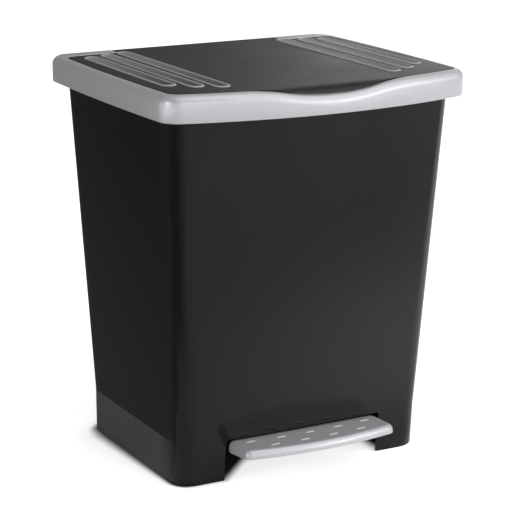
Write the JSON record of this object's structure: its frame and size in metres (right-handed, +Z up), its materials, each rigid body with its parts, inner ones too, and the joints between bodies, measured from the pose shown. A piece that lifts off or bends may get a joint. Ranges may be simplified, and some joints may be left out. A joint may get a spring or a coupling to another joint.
{
  "type": "pedal trash can",
  "caption": "Black plastic pedal trash can with a silver lift-off rim frame, a dark ribbed lid with a front lip, a lift-out bucket and a silver foot pedal",
  "frame": {"origin": "on the floor, under the middle of the bin's outside box", "axes": "+Z up, +X to the right as one stands in front of the pedal, the pedal side faces -Y"},
  "size_m": [0.334, 0.31, 0.3993],
  "materials": {
    "body_plastic": "semi-gloss moulded black",
    "bucket_plastic": "fine matte moulded black",
    "lid_plastic": "fine-grained dark grey",
    "silver_plastic": "satin silver paint over plastic",
    "guide_plastic": "matte moulded black",
    "steel": "drawn bright wire",
    "buffer_rubber": "soft matte"
  },
  "bodies": {
    "body": {"outer_body": "body_plastic", "inner_bucket": "bucket_plastic", "rod_guide": "guide_plastic", "floor_bush": "guide_plastic", "pedal_bracket": "guide_plastic", "bracket_screws": "steel", "pedal_axle": "steel"},
    "rim": {"rim_frame": "silver_plastic", "hinge_pin_left": "steel", "hinge_pin_right": "steel", "lid_buffers": "buffer_rubber"},
    "lid": {"lid_panel": "lid_plastic", "lid_lug": "guide_plastic", "lug_screws": "steel"},
    "rod": {"push_rod": "steel", "rod_cap": "guide_plastic", "rod_shoe": "guide_plastic"},
    "pedal": {"pedal_lever": "guide_plastic", "pedal_tread": "silver_plastic", "tread_screws": "steel"}
  },
  "joints": [
    {"name": "lid_hinge", "type": "hinge", "parent": "rim", "child": "lid", "pos_m": [0, 0.145, 0.3885], "axis": [-1, 0, 0], "range_deg": [0, 70]},
    {"name": "pedal_press", "type": "hinge", "parent": "body", "child": "pedal", "pos_m": [0, -0.018, 0.022], "axis": [1, 0, 0], "range_deg": [0, 14]},
    {"name": "rod_slide", "type": "slide", "parent": "body", "child": "rod", "axis": [0, 0.0183, 0.9998], "range_m": [0, 0.0322]},
    {"name": "frame_lift", "type": "slide", "parent": "body", "child": "rim", "axis": [0, 0, 1], "range_m": [0, 0.12]}
  ],
  "couplings": [
    {"joint": "pedal_press", "follows": "lid_hinge", "ratio": 0.1997},
    {"joint": "rod_slide", "follows": "lid_hinge", "m_per_rad": 0.026295}
  ]
}
